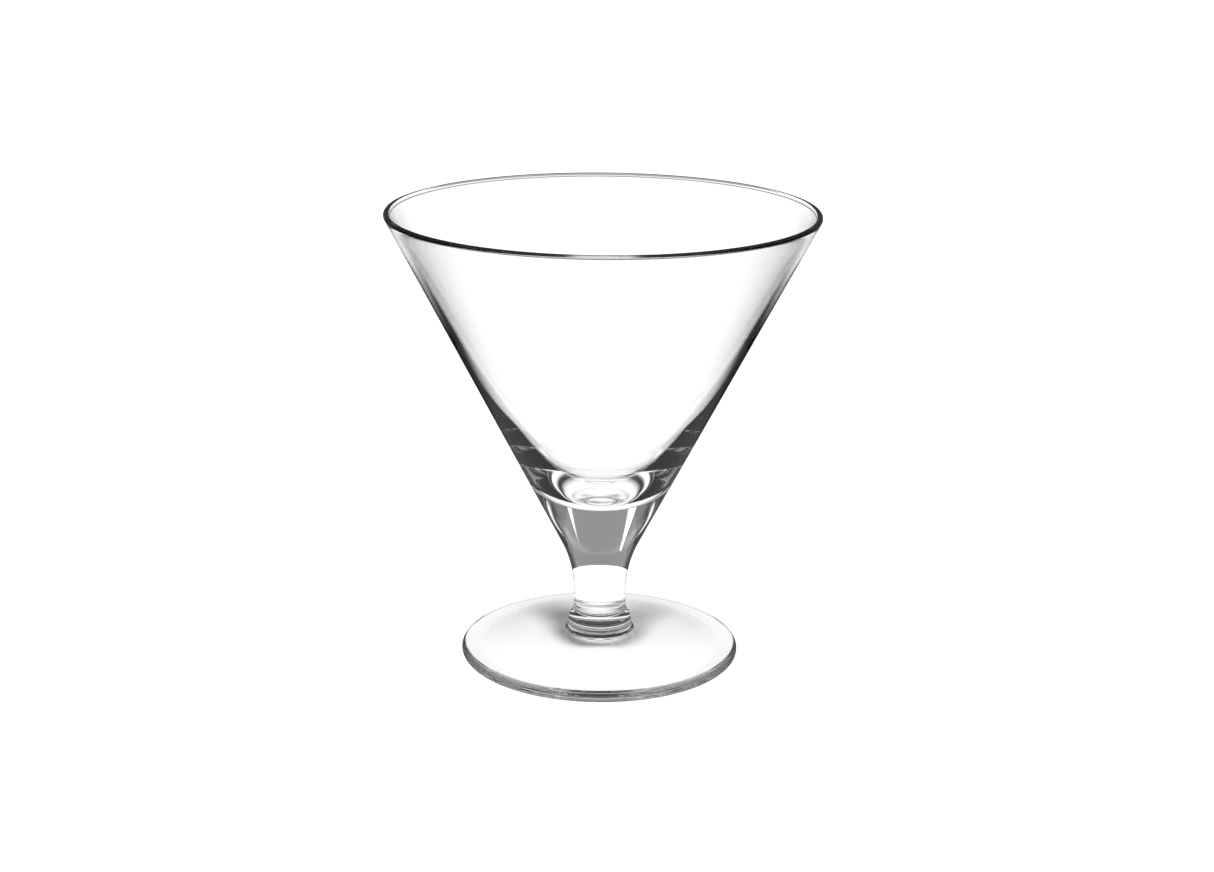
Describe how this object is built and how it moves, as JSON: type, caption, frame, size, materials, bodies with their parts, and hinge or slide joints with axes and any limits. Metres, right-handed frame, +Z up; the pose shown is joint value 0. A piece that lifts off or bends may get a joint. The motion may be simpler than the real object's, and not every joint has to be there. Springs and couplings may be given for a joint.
{
  "type": "martini glass",
  "caption": "Clear cocktail glass: a wide conical bowl with a solid rounded bottom on a short flared stem, a pressed collar and a round foot.",
  "frame": {"origin": "centre of the ring under the foot, on the table", "axes": "+Z up along the axis of the glass, from the foot to the rim; the glass is round, so X and Y are free"},
  "size_m": [0.11, 0.11, 0.1184],
  "materials": {
    "bowl_glass": "fire-polished clear glass, thin wall",
    "base_glass": "polished clear glass, solid"
  },
  "bodies": {
    "root": {"bowl": "bowl_glass", "stem": "base_glass", "collar": "base_glass", "foot": "base_glass"}
  },
  "joints": []
}
